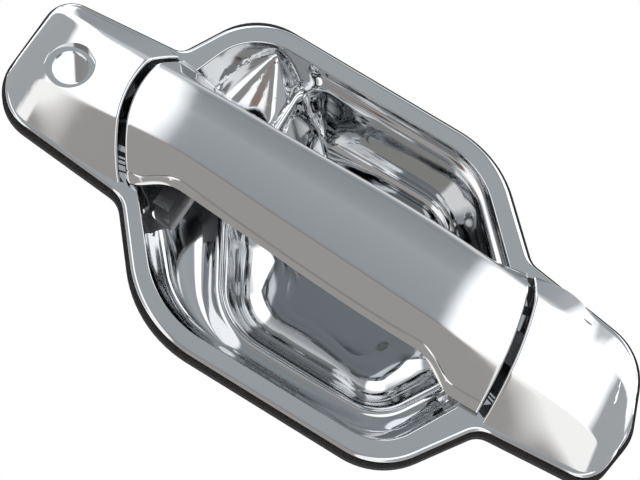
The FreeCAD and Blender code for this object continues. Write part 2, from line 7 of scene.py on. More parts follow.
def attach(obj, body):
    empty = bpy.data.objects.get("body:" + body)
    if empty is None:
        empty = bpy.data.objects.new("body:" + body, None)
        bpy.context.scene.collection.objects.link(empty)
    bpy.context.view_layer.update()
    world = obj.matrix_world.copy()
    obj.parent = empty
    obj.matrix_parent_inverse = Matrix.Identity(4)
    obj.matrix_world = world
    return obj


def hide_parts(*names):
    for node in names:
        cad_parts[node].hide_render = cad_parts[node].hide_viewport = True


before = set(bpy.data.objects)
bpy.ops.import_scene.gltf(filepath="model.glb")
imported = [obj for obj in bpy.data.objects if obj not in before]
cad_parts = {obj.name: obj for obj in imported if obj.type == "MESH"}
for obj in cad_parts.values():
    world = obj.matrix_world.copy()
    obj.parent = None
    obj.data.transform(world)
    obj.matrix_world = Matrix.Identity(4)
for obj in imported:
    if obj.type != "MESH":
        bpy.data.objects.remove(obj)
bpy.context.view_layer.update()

# The handle is drawn in millimetres: x along it, y up the door, z out of the door skin.
drawing = {"middleX": 12.5, "middleY": 2.0}


# From drawing millimetres to the row frame in metres.
def place(points):
    points = np.asarray(points, float)
    x = (points[..., 0] - drawing["middleX"]) / 1000
    y = -points[..., 2] / 1000
    z = (points[..., 1] - drawing["middleY"]) / 1000
    return np.stack([x, y, z], axis=-1)


def spot(x, y, z):
    return Vector(place([x, y, z]))


def deselect():
    bpy.ops.object.select_all(action="DESELECT")


def activate(piece):
    deselect()
    piece.select_set(True)
    bpy.context.view_layer.objects.active = piece


bezelSizes = {
    "outline": [(-117.6, 24.9, 8.5), (-73, 29.2, 6), (-59.5, 56.4, 26), (34.2, 56.4, 37), (62.5, 28.9, 8),
                (108.7, 22.1, 20), (118.8, -4.5, 14), (116, -25, 8.5), (76.8, -28.4, 8), (57.4, -58.2, 24),
                (-33.2, -58.2, 44), (-61.5, -24.6, 10), (-117, -20.2, 17)],
    "mouth": [(-57.5, 49.9, 20), (31.5, 49.9, 31), (66, 15.5, 12), (67.5, -26, 6), (54, -51.7, 18),
              (-30.5, -51.7, 38), (-60, -18, 8), (-66, 24, 8)],
    "pocket": [(-33, 46.4, 7), (30, 46.4, 28), (61, 15, 12), (60, -14, 14), (46, -38.7, 16),
               (-12, -38.7, 24), (-30, -8, 16)],
    "centre": (10.0, 2.0),
    "rimBottom": 3.0, "flangeTop": 6.0, "rimRound": 1.3, "mouthRound": 0.45, "skin": 2.5,
    "angles": 400,
}


# Corners with their rounding, as evenly spaced points.
def roundedOutline(corners, step=0.5):
    points = []
    count = len(corners)
    for number, (x, y, radius) in enumerate(corners):
        here = np.array([x, y], float)
        before = np.array(corners[number - 1][:2], float) - here
        after = np.array(corners[(number + 1) % count][:2], float) - here
        before /= np.linalg.norm(before)
        after /= np.linalg.norm(after)
        half = math.acos(np.clip(before @ after, -1, 1)) / 2
        start = here + before * radius / math.tan(half)
        end = here + after * radius / math.tan(half)
        middle = (before + after) / np.linalg.norm(before + after)
        centre = here + middle * radius / math.sin(half)
        first = math.atan2(*(start - centre)[::-1])
        turn = (math.atan2(*(end - centre)[::-1]) - first + math.pi) % (2 * math.pi) - math.pi
        steps = max(4, int(abs(turn) * radius / step))
        for share in np.linspace(0, 1, steps):
            angle = first + turn * share
            points.append(centre + radius * np.array([math.cos(angle), math.sin(angle)]))
    closed = np.array(points + points[:1])
    run = np.concatenate([[0], np.cumsum(np.linalg.norm(np.diff(closed, axis=0), axis=1))])
    at = np.linspace(0, run[-1], int(run[-1] / step), endpoint=False)
    return np.stack([np.interp(at, run, closed[:, 0]), np.interp(at, run, closed[:, 1])], axis=1)


# How far an outline lies from a centre, in each direction.
def reach(outline, centre, angles):
    away = outline - np.array(centre)
    found = np.arctan2(away[:, 1], away[:, 0])
    order = np.argsort(found)
    return np.interp(angles, found[order], np.linalg.norm(away, axis=1)[order], period=2 * math.pi)


# A smooth curve through the given points.
def naturalSpline(xs, ys):
    xs, ys = np.asarray(xs, float), np.asarray(ys, float)
    gap = np.diff(xs)
    count = len(xs)
    matrix = np.eye(count)
    right = np.zeros(count)
    for k in range(1, count - 1):
        matrix[k, k - 1:k + 2] = gap[k - 1], 2 * (gap[k - 1] + gap[k]), gap[k]
        right[k] = 6 * ((ys[k + 1] - ys[k]) / gap[k] - (ys[k] - ys[k - 1]) / gap[k - 1])
    bend = np.linalg.solve(matrix, right)

    def value(x):
        x = np.clip(x, xs[0], xs[-1])
        k = np.clip(np.searchsorted(xs, x) - 1, 0, count - 2)
        a, b, h = xs[k + 1] - x, x - xs[k], gap[k]
        return (bend[k] * a ** 3 + bend[k + 1] * b ** 3) / (6 * h) + (
            ys[k] / h - bend[k] * h / 6) * a + (ys[k + 1] / h - bend[k + 1] * h / 6) * b

    return value


# Cubic spline weights of the control points at v, from 0 to 1.
def splineWeights(count, v):
    knots = np.concatenate([[0] * 3, np.linspace(0, 1, count - 2), [1] * 3])
    v = np.clip(v, 0, 1 - 1e-9)
    weights = [((knots[k] <= v) & (v < knots[k + 1])).astype(float) for k in range(count + 3)]
    for degree in (1, 2, 3):
        raised = []
        for k in range(count + 3 - degree):
            low, high = knots[k + degree] - knots[k], knots[k + degree + 1] - knots[k + 1]
            part = (v - knots[k]) / low * weights[k] if low > 0 else 0
            rest = (knots[k + degree + 1] - v) / high * weights[k + 1] if high > 0 else 0
            raised.append(part + rest)
        weights = raised
    return weights


def smooth(value, low, high):
    share = np.clip((value - low) / (high - low), 0, 1)
    return share * share * (3 - 2 * share)


def meshPiece(name, points, faces):
    mesh = bpy.data.meshes.new(name)
    mesh.from_pydata([tuple(p) for p in points], [], faces)
    piece = bpy.data.objects.new(name, mesh)
    bpy.context.scene.collection.objects.link(piece)
    activate(piece)
    bpy.ops.object.mode_set(mode="EDIT")
    bpy.ops.mesh.select_all(action="SELECT")
    bpy.ops.mesh.remove_doubles(threshold=0.000002)
    bpy.ops.mesh.dissolve_degenerate(threshold=0.000002)
    bpy.ops.mesh.normals_make_consistent(inside=False)
    bpy.ops.object.mode_set(mode="OBJECT")
    return piece


def gridFaces(rows, columns, start=0, closed=False):
    faces = []
    for i in range(rows - 1):
        for j in range(columns if closed else columns - 1):
            k = (j + 1) % columns
            faces.append((start + i * columns + j, start + i * columns + k,
                          start + (i + 1) * columns + k, start + (i + 1) * columns + j))
    return faces


# A closed solid between two grids of the same size.
def solidBetween(name, top, bottom):
    rows, columns = top.shape[:2]
    size = rows * columns
    faces = gridFaces(rows, columns) + gridFaces(rows, columns, size)
    for i in range(rows - 1):
        for j in (0, columns - 1):
            a, b = i * columns + j, (i + 1) * columns + j
            faces.append((a, b, b + size, a + size))
    for j in range(columns - 1):
        for i in (0, rows - 1):
            a, b = i * columns + j, i * columns + j + 1
            faces.append((a, b, b + size, a + size))
    points = np.concatenate([place(top).reshape(-1, 3), place(bottom).reshape(-1, 3)])
    return meshPiece(name, points, faces)


def applyAll(piece):
    activate(piece)
    for modifier in list(piece.modifiers):
        bpy.ops.object.modifier_apply(modifier=modifier.name)


def combine(piece, other, operation):
    change = piece.modifiers.new("change", "BOOLEAN")
    change.operation = operation
    change.solver = "MANIFOLD"
    change.object = other
    applyAll(piece)
    bpy.data.objects.remove(other)


def joined(parts):
    activate(parts[0])
    for part in parts:
        part.select_set(True)
    bpy.ops.object.join()
    return parts[0]


# A cylinder from one point to another.
def rod(name, radius, low, high, sides=96):
    low, high = spot(*low), spot(*high)
    deselect()
    bpy.ops.mesh.primitive_cylinder_add(vertices=sides, radius=radius / 1000, depth=(high - low).length)
    piece = bpy.context.object
    piece.name = name
    turn = (high - low).to_track_quat("Z", "Y").to_matrix().to_4x4()
    piece.data.transform(Matrix.Translation((low + high) / 2) @ turn)
    return piece


# A box between two corners, with rounded edges along one axis if asked.
def block(name, low, high, rounding=0.0, axis=2):
    a, b = spot(*low), spot(*high)
    deselect()
    bpy.ops.mesh.primitive_cube_add(size=1)
    piece = bpy.context.object
    piece.name = name
    size = Vector([abs(b[k] - a[k]) for k in range(3)])
    piece.data.transform(Matrix.Translation((a + b) / 2) @ Matrix.Diagonal((*size, 1)))
    if rounding:
        bpy.ops.object.mode_set(mode="EDIT")
        bpy.ops.mesh.select_all(action="DESELECT")
        bpy.ops.object.mode_set(mode="OBJECT")
        along = {0: 0, 1: 2, 2: 1}[axis]
        for edge in piece.data.edges:
            ends = [piece.data.vertices[v].co for v in edge.vertices]
            edge.select = abs((ends[1] - ends[0])[along]) > 1e-6
        bpy.ops.object.mode_set(mode="EDIT")
        bpy.ops.mesh.select_mode(type="EDGE")
        bpy.ops.mesh.bevel(offset=rounding / 1000, segments=6, affect="EDGES")
        bpy.ops.object.mode_set(mode="OBJECT")
    return piece


def finishPiece(piece, angle=32):
    activate(piece)
    bpy.ops.object.shade_smooth_by_angle(angle=math.radians(angle))


bowlSizes = {
    "channelFloor": -9.4, "lipCrest": -4.6, "pocketFloor": -25.0,
    "foldX": -47.0, "foldY": 48.0, "foldTop": 3.0,
    # direction of each crease from the corner, in degrees, and the fall along it
    "folds": [(-172, 0.9), (-150, 0.62), (-124, 0.42), (-104, 0.36), (-84, 0.46), (-62, 0.36), (-42, 0.50),
              (-20, 0.9)],
}


# The bowl wall from mouth to pocket floor, for a wide or a narrow margin.
def bowlProfile(share, margin):
    floor, crest, deep = (bowlSizes[k] for k in ("channelFloor", "lipCrest", "pocketFloor"))
    wide = [(0.0, 6.0), (0.9, 2.0), (3.2, -4.0), (7.0, floor), (margin - 7.5, floor - 0.6),
            (margin - 4.6, crest - 0.6), (margin - 1.6, crest), (margin + 0.6, crest - 4.0),
            (margin + 2.0, -14.0), (margin + 7.0, -22.0), (margin + 17.0, deep)]
    steep = [(0.0, 6.0), (0.2, 4.2), (0.7, 3.0), (1.6, 2.4), (margin - 1.2, 2.0), (margin - 0.2, 1.2),
             (margin + 0.9, -4.0), (margin + 2.4, -11.5), (margin + 4.6, -17.5), (margin + 8.5, -22.5),
             (margin + 16.0, deep)]
    weight = smooth(margin, 4.5, 13.0)
    weights = splineWeights(len(wide), share)
    inwards = sum(w * (a[0] * weight + b[0] * (1 - weight)) for w, a, b in zip(weights, wide, steep))
    height = sum(w * (a[1] * weight + b[1] * (1 - weight)) for w, a, b in zip(weights, wide, steep))
    return inwards, height


# Rings from the rim over the flange and down to the pocket floor.
def bowlRings():
    s = bezelSizes
    outer, mouth, pocket = (roundedOutline(s[k]) for k in ("outline", "mouth", "pocket"))
    fine = np.linspace(-math.pi, math.pi, 4000)
    spread = np.zeros_like(fine)
    for outline in (outer, mouth, pocket):
        radius = reach(outline, s["centre"], fine)
        spread[1:] += np.hypot(np.diff(radius * np.cos(fine)), np.diff(radius * np.sin(fine)))
    total = np.cumsum(spread)
    angles = np.interp(np.linspace(0, total[-1], s["angles"], endpoint=False), total, fine)
    outerReach, mouthReach, pocketReach = (reach(o, s["centre"], angles) for o in (outer, mouth, pocket))
    direction = np.stack([np.cos(angles), np.sin(angles)], axis=1)

    def ring(radius, height):
        points = np.array(s["centre"]) + direction * np.broadcast_to(radius, angles.shape)[:, None]
        return np.concatenate([points, np.broadcast_to(height, angles.shape)[:, None]], axis=1)

    rings = [ring(outerReach, s["rimBottom"]), ring(outerReach, s["rimBottom"] + 0.4)]
    for share in np.linspace(0, 1, 7):
        turn = share * math.pi / 2
        rings.append(ring(outerReach - s["rimRound"] * (1 - math.cos(turn)),
                          s["flangeTop"] - s["rimRound"] * (1 - math.sin(turn))))
    edge, width = s["mouthRound"], outerReach - mouthReach - s["rimRound"]
    for share in (0.1, 0.4, 0.7, 0.9):
        rings.append(ring(outerReach - s["rimRound"] - (width - edge) * share, s["flangeTop"]))
    for share in np.linspace(0, 1, 5):
        turn = share * math.pi / 2
        rings.append(ring(mouthReach + edge * (1 - math.sin(turn)),
                          s["flangeTop"] - edge * (1 - math.cos(turn))))
    bowlStart = len(rings) - 1
    for share in np.linspace(0, 1, 54)[1:]:
        inwards, height = bowlProfile(share, mouthReach - pocketReach)
        rings.append(ring(mouthReach - inwards, height - edge * (1 - share)))
    last = np.linalg.norm(rings[-1][:, :2] - np.array(s["centre"]), axis=1)
    for share in (0.8, 0.55, 0.3, 0.12):
        rings.append(ring(last * share, bowlSizes["pocketFloor"]))
    rings = np.array(rings)
    return foldCorner(rings), bowlStart


# The fold at the bowl's upper rear, as facets that fall away from one point.
def foldCorner(rings):
    b = bowlSizes
    x, y, z = (rings[..., k] for k in range(3))
    away = np.hypot(x - b["foldX"], y - b["foldY"])
    turn = np.degrees(np.arctan2(y - b["foldY"], x - b["foldX"]))
    spread = [np.interp(turn + shift, *zip(*b["folds"])) for shift in (-3, -1.5, 0, 1.5, 3)]
    slope = sum(spread) / len(spread)
    cone = b["foldTop"] - away * slope
    fade = smooth(away, 34, 52) * 30
    lifted = cone - fade
    gap = lifted - z
    rings[..., 2] = z + np.where(gap > 0, gap * smooth(gap, 0, 2.5), 0) * (turn < 0) * (turn > -172)
    return rings


def bezelSheet():
    rings, bowlStart = bowlRings()
    rows, columns = rings.shape[:2]
    points = np.concatenate([place(rings).reshape(-1, 3),
                             [place([*bezelSizes["centre"], bowlSizes["pocketFloor"]])]])
    faces = gridFaces(rows, columns, closed=True)
    faces += [((rows - 1) * columns + j, (rows - 1) * columns + (j + 1) % columns, rows * columns)
              for j in range(columns)]
    sheet = meshPiece("bezel_face", points, faces)
    outward = sum(1 for p in sheet.data.polygons if p.normal.y < 0) * 2 > len(sheet.data.polygons)
    if not outward:
        sheet.data.flip_normals()
    wall = sheet.modifiers.new("wall", "SOLIDIFY")
    wall.thickness = bezelSizes["skin"] / 1000
    wall.offset = -1
    wall.use_rim = True
    applyAll(sheet)
    lid = rings[bowlStart:].copy()
    top = lid[:1].copy()
    top[..., 2] = 40.0
    lid = np.concatenate([top, lid])
    rows = len(lid)
    points = np.concatenate([place(lid).reshape(-1, 3),
                             [place([*bezelSizes["centre"], bowlSizes["pocketFloor"]])],
                             [place([*bezelSizes["centre"], 40.0])]])
    faces = gridFaces(rows, columns, closed=True)
    faces += [((rows - 1) * columns + j, (rows - 1) * columns + (j + 1) % columns, rows * columns)
              for j in range(columns)]
    faces += [(j, (j + 1) % columns, rows * columns + 1) for j in range(columns)]
    return sheet, meshPiece("hollow", points, faces)


barSizes = {
    # x, low foot, low crease, high crease, high foot, crease height, crown height
    "stations": [(-118, -21.0, -8.5, 15.5, 26.0, 15.4, 16.5), (-100, -21.0, -8.5, 16.5, 26.8, 18.7, 20.0),
                 (-80, -22.5, -8.5, 15.5, 28.6, 21.0, 22.5), (-56, -21.9, -7.9, 16.2, 26, 23.4, 25.1),
                 (-25, -21.5, -9.5, 16.5, 20.5, 24.9, 26.8), (15, -23.5, -11.5, 17, 20.5, 25.6, 27.5),
                 (50, -26, -12.5, 16, 23, 24.2, 25.9), (76, -27.5, -12.5, 14, 27.5, 20.8, 22.2),
                 (94.5, -26.1, -12.7, 13, 26.0, 18.0, 19.3), (109.5, -25.0, -12.5, 10.5, 23.5, 15.4, 16.7),
                 (119, -24.0, -12.0, 8, 21, 13.7, 15.0)],
    "baseZ": 5.0, "rearRoll": -92.0, "frontRoll": 90.0, "inset": 0.5,
    "rearGap": (-34.0, 9.0, 43.0), "frontGap": (-48.0, -24.3, 124.5), "gapWidth": 2.5,
    "edgeRound": 0.9, "linerThick": 3.5, "seam": 0.12, "blockColumns": 76,
    "nearRear": (78, 96), "nearFront": (76, 94), "shadeDepth": 1.3, "shadeReach": 1.35,
}
barValues = [naturalSpline([s[0] for s in barSizes["stations"]], [s[k] for s in barSizes["stations"]])
             for k in range(1, 7)]


# The lower and upper edge of the bezel along x.
def outlineSides():
    outline = roundedOutline(bezelSizes["outline"], 0.25)
    xs = np.linspace(outline[:, 0].min(), outline[:, 0].max(), 700)
    low, high = [], []
    for x in xs:
        near = outline[np.abs(outline[:, 0] - x) < 0.4]
        low.append(near[:, 1].min())
        high.append(near[:, 1].max())
    return xs, np.array(low), np.array(high)


sideX, sideLow, sideHigh = outlineSides()
barTips = (sideX[0] + barSizes["inset"], sideX[-1] - barSizes["inset"])


# Control points across the bar at x, and wall makes the same shape smaller.
def barControls(x, wall=0.0):
    lowFoot, lowCrease, highCrease, highFoot, creaseZ, crownZ = (value(x) for value in barValues)
    lowInset, highInset = lowCrease - lowFoot, highFoot - highCrease
    rear = np.clip((barSizes["rearRoll"] - x) / (barSizes["rearRoll"] - barTips[0]), 0, 1)
    front = np.clip((x - barSizes["frontRoll"]) / (barTips[1] - barSizes["frontRoll"]), 0, 1)
    roll = np.sqrt(np.clip(1 - np.maximum(rear, front) ** 3.4, 0, 1))
    nearTip = smooth(-x, *barSizes["nearRear"]) + smooth(x, *barSizes["nearFront"])
    room = barSizes["inset"]
    lowFoot = lowFoot + (np.maximum(lowFoot, np.interp(x, sideX, sideLow) + room) - lowFoot) * nearTip
    highFoot = highFoot + (np.minimum(highFoot, np.interp(x, sideX, sideHigh) - room) - highFoot) * nearTip
    lowCrease = lowFoot + lowInset * (0.3 + 0.7 * roll)
    highCrease = highFoot - highInset * (0.3 + 0.7 * roll)
    base = barSizes["baseZ"]
    creaseZ = base + (creaseZ - base) * roll - wall
    crownZ = base + (crownZ - base) * roll - wall
    lowFoot, highFoot = lowFoot + wall, highFoot - wall
    lowCrease, highCrease = lowCrease + wall * 0.6, highCrease - wall * 0.6
    middle = (lowCrease + highCrease) / 2
    foot = np.minimum(base, creaseZ - 0.1)

    def between(a, b, share):
        return a[0] + (b[0] - a[0]) * share, a[1] + (b[1] - a[1]) * share

    lowEnd, low, crown = (lowFoot, foot), (lowCrease, creaseZ), (middle, crownZ)
    high, highEnd = (highCrease, creaseZ), (highFoot, foot)
    return [lowEnd, between(lowEnd, low, 0.45), between(lowEnd, low, 0.9), low, between(low, crown, 0.1),
            between(low, crown, 0.6), between(crown, high, 0.2), between(crown, high, 0.75), high,
            between(high, highEnd, 0.25), between(high, highEnd, 0.65), highEnd]


def barPoint(x, v, wall=0.0):
    controls = barControls(x, wall)
    weights = splineWeights(len(controls), v)
    y = sum(w * c[0] for w, c in zip(weights, controls))
    z = sum(w * c[1] for w, c in zip(weights, controls))
    return y, z


def rearGapX(y, radius):
    centreX, middleY, _ = barSizes["rearGap"]
    return centreX - np.sqrt(radius ** 2 - (y - middleY) ** 2)


def frontGapX(y, radius):
    centreX, middleY, _ = barSizes["frontGap"]
    return centreX + np.sqrt(radius ** 2 - (y - middleY) ** 2)


# The bar's top between two ends, cut to shape and with rounded ends.
def barGrid(shares, columns, rearX, frontX, rounded, cut=None, wall=0.0):
    share = np.broadcast_to(np.asarray(shares)[:, None], (len(shares), columns))
    v = np.broadcast_to(np.linspace(0, 1, columns)[None, :], share.shape)
    x = np.full(share.shape, -10.0)
    y = np.zeros(share.shape)
    for _ in range(14):
        x = rearX(y) + (frontX(y) - rearX(y)) * share
        at = v
        if cut is not None:
            low, high = cut(x)
            at = low + (high - low) * v
        y, z = barPoint(x, at, wall)
    grid = np.stack([x, y, z], axis=-1)
    along, across = np.gradient(grid, axis=0), np.gradient(grid, axis=1)
    normal = np.cross(along, across)
    normal /= np.maximum(np.linalg.norm(normal, axis=-1, keepdims=True), 1e-9)
    normal *= np.where(normal[..., 2:3] < 0, -1, 1)
    radius = barSizes["edgeRound"]
    for end, limit in zip(rounded, (rearX(y), frontX(y))):
        if end:
            depth = np.clip(radius - np.abs(x - limit), 0, radius)
            grid = grid - normal * (radius - np.sqrt(radius ** 2 - depth ** 2))[..., None]
    return grid


# Shares from 0 to 1, close together at the rounded ends.
def endDense(count, length, radius, rear, front):
    near = [0.0, 0.04, 0.15, 0.35, 0.6, 0.85, 1.1]
    edge = np.array(near) * radius / length
    middle = np.linspace(0, 1, count)
    if rear:
        middle = np.concatenate([edge, middle[middle > edge[-1] * 1.6]])
    if front:
        middle = np.concatenate([middle[middle < 1 - edge[-1] * 1.6], 1 - edge[::-1]])
    return middle


def rearBlock(name, wall=0.0):
    gap = barSizes["rearGap"][2] + wall
    tip = barTips[0] + wall * 1.2
    roll = (1 - np.cos(np.linspace(0, math.pi / 2, 46)))
    shares = np.concatenate([roll * 0.45, np.linspace(0.45, 1, 40)[1:]])
    nearGap = np.array([1.1, 0.85, 0.6, 0.35, 0.15, 0.04, 0]) * 0.9 / 41
    shares = np.concatenate([shares[shares < 0.965], 1 - nearGap])
    top = barGrid(shares, barSizes["blockColumns"], lambda y: np.full_like(y, tip),
                  lambda y: rearGapX(y, gap), (False, wall == 0), wall=wall)
    bottom = top.copy()
    bottom[..., 2] = -2.0 if wall else 4.2
    return solidBetween(name, top, bottom)


def frontBlock(name, wall=0.0):
    gap = barSizes["frontGap"][2] + wall
    tip = barTips[1] - wall * 1.2
    roll = 1 - (1 - np.cos(np.linspace(0, math.pi / 2, 46))) * 0.5
    shares = np.concatenate([np.linspace(0, 0.5, 40)[:-1], roll[::-1]])
    nearGap = np.array([0, 0.04, 0.15, 0.35, 0.6, 0.85, 1.1]) * 0.9 / 44
    shares = np.concatenate([nearGap, shares[shares > 0.035]])
    top = barGrid(shares, barSizes["blockColumns"], lambda y: frontGapX(y, gap),
                  lambda y: np.full_like(y, tip), (wall == 0, False), wall=wall)
    bottom = top.copy()
    bottom[..., 2] = -2.0 if wall else 4.2
    return solidBetween(name, top, bottom)


fittings = {
    "keyX": -97.5, "keyY": 0.0, "keyRadius": 8.3, "keySeat": 6.0,
    "sleeveLow": -12.0, "sleeveTop": 14.6, "webLow": 15.5, "webTop": 17.4,
    "studX": (-80.0, 105.0), "studY": 2.0, "bossRadius": 5.2, "shankRadius": 3.6, "bossTops": (20.4, 14.6),
    "sleeveWall": 2.5, "webWall": 0.5, "webFoot": 5.0,
    "hingeX": 88.0, "hingeZ": 9.0, "pinRadius": 2.5, "hingePinReach": 20.0,
    "hingeEarX": (83, 93), "hingeEarY": (-11.5, 5.5), "hingeEarZ": (4.0, 17.0), "hingeEarThick": 3,
    "leverEarX": (-62.7, -40.1), "leverEarThick": 3.5, "leverEarRadius": 7.0, "leverPinY": 29.13,
    "leverPinZ": -26.77, "leverEarTop": 3.0, "leverPinX": (-70, -30),
    "legSlot": ((-52.5, -21.2, -20), (-43.7, 6.2, 5)), "legSlotRound": 1.6,
    "armOpening": ((71.5, -8.9, 6.0), (82.0, 5.9, 15.0)), "armOpeningRound": 1.2,
    "far": 40,
}


# The end walls inside the gaps are in deep shadow, so the faces there get a near-black material as painted
# shade in place of chrome.
def paintGapShade(piece):
    piece.data.materials.clear()
    for finishName in ("chrome", "shadow"):
        piece.data.materials.append(materials[finishName])
    faces = len(piece.data.polygons)
    centres = np.zeros(faces * 3)
    piece.data.polygons.foreach_get("center", centres)
    centres = centres.reshape(-1, 3) * 1000
    x, y, z = centres[:, 0] + drawing["middleX"], centres[:, 2] + drawing["middleY"], -centres[:, 1]
    near = (z > 5.5) & (np.abs(y) < 30)
    bounded = np.clip(y, -30, 30)
    rear = np.abs(x - rearGapX(bounded, barSizes["rearGap"][2]) - 1.2)
    front = np.abs(frontGapX(bounded, barSizes["frontGap"][2]) - x - 1.2)
    near &= np.minimum(rear, front) < barSizes["shadeReach"]
    spots = np.nonzero(near)[0]
    acrossY, acrossZ = barPoint(x[spots, None], np.linspace(0, 1, 160)[None, :])
    closest = np.argmin(np.abs(acrossY - y[spots, None]), axis=1)
    deep = z[spots] < acrossZ[np.arange(len(spots)), closest] - barSizes["shadeDepth"]
    # faces deep inside the gaps take the painted-shade material, slot 1
    marks = np.zeros(faces, dtype=np.int32)
    marks[spots[deep]] = 1
    piece.data.polygons.foreach_set("material_index", marks)


def buildBezel():
    f = fittings
    bezel, hollow = bezelSheet()
    for make in (rearBlock, frontBlock):
        combine(bezel, make("part"), "UNION")
    for make in (rearBlock, frontBlock):
        combine(bezel, make("part", bezelSizes["skin"]), "DIFFERENCE")
    key, y = (f["keyX"], f["keyY"]), f["studY"]
    added = [rod("part", f["keyRadius"] + f["sleeveWall"], (*key, f["sleeveLow"]), (*key, f["sleeveTop"])),
             rod("part", f["keyRadius"] + f["webWall"], (*key, f["webFoot"]), (*key, f["webTop"]))]
    added += [rod("part", f["bossRadius"], (x, y, 0), (x, y, top), 64)
              for x, top in zip(f["studX"], f["bossTops"])]
    (rear, front), (foot, top) = f["hingeEarX"], f["hingeEarZ"]
    added += [block("part", (rear, low, foot), (front, low + f["hingeEarThick"], top), 1.5, 1)
              for low in f["hingeEarY"]]
    for part in added:
        combine(bezel, part, "UNION")
    pinY, pinZ, round3 = f["leverPinY"], f["leverPinZ"], f["leverEarRadius"]
    for rear in f["leverEarX"]:
        front = rear + f["leverEarThick"]
        ear = block("part", (rear, pinY - round3, pinZ), (front, pinY + round3, f["leverEarTop"]))
        combine(ear, rod("part", round3, (rear, pinY, pinZ), (front, pinY, pinZ), 64), "UNION")
        combine(bezel, ear, "UNION")
    combine(bezel, hollow, "DIFFERENCE")
    cut = [block("part", *f["legSlot"], f["legSlotRound"]),
           rod("part", f["keySeat"], (*key, -30), (*key, f["far"])),
           block("part", *f["armOpening"], f["armOpeningRound"], 0),
           rod("part", f["pinRadius"], *((x, pinY, pinZ) for x in f["leverPinX"]), 48)]
    cut += [rod("part", f["shankRadius"], (x, y, -1), (x, y, 10), 48) for x in f["studX"]]
    combine(bezel, joined(cut), "DIFFERENCE")
    side, pinX, pinZ = f["hingePinReach"], f["hingeX"], f["hingeZ"]
    cut = [rod("part", f["keyRadius"], (*key, f["webTop"]), (*key, f["far"])),
           rod("part", f["keyRadius"], (*key, -30), (*key, f["webLow"])),
           rod("part", f["pinRadius"], (pinX, -side, pinZ), (pinX, side, pinZ), 48)]
    combine(bezel, joined(cut), "DIFFERENCE")
    finishPiece(bezel)
    paintGapShade(bezel)
    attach(bezel, "bezel")
    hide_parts("bezel")
    bezel.data.calc_loop_triangles()
    print("bezel", len(bezel.data.loop_triangles))


strapSizes = {
    # height of the strap's underside along x
    "arch": [(-90, 6.8), (-64, 6.8), (-59.5, 7.3), (-54, 10.2), (-48.5, 12.6), (-42, 13.0), (44, 13.0),
             (50, 12.6), (55.5, 10.0), (61, 7.2), (66, 6.8), (90, 6.8)],
    "rows": 170, "columns": 96, "length": 146.0, "coverLift": 0.25,
    "screws": [(-30, 0), (32, 0), (46, -6), (46, 6), (-45.7, -2), (-45.7, 9)],
    "screwRadius": 3.1, "screwLow": 12.0, "screwTop": 14.9,
}
archCurve = naturalSpline([p[0] for p in strapSizes["arch"]], [p[1] for p in strapSizes["arch"]])


# Where across the bar the surface stands a given height over the arch.
def seamCut(lift):
    xs = np.linspace(-82, 82, 240)
    v = np.linspace(0, 1, 500)
    lows, highs = [], []
    for x in xs:
        _, z = barPoint(np.full_like(v, x), v)
        above = np.nonzero(z > archCurve(x) + lift)[0]
        first, last = above[0], above[-1]
        level = archCurve(x) + lift
        if first:
            lows.append(np.interp(level, [z[first - 1], z[first]], [v[first - 1], v[first]]))
        else:
            lows.append(0.0)
        if last < len(v) - 1:
            highs.append(np.interp(level, [z[last + 1], z[last]], [v[last + 1], v[last]]))
        else:
            highs.append(1.0)
    return lambda x: (np.interp(x, xs, lows), np.interp(x, xs, highs))


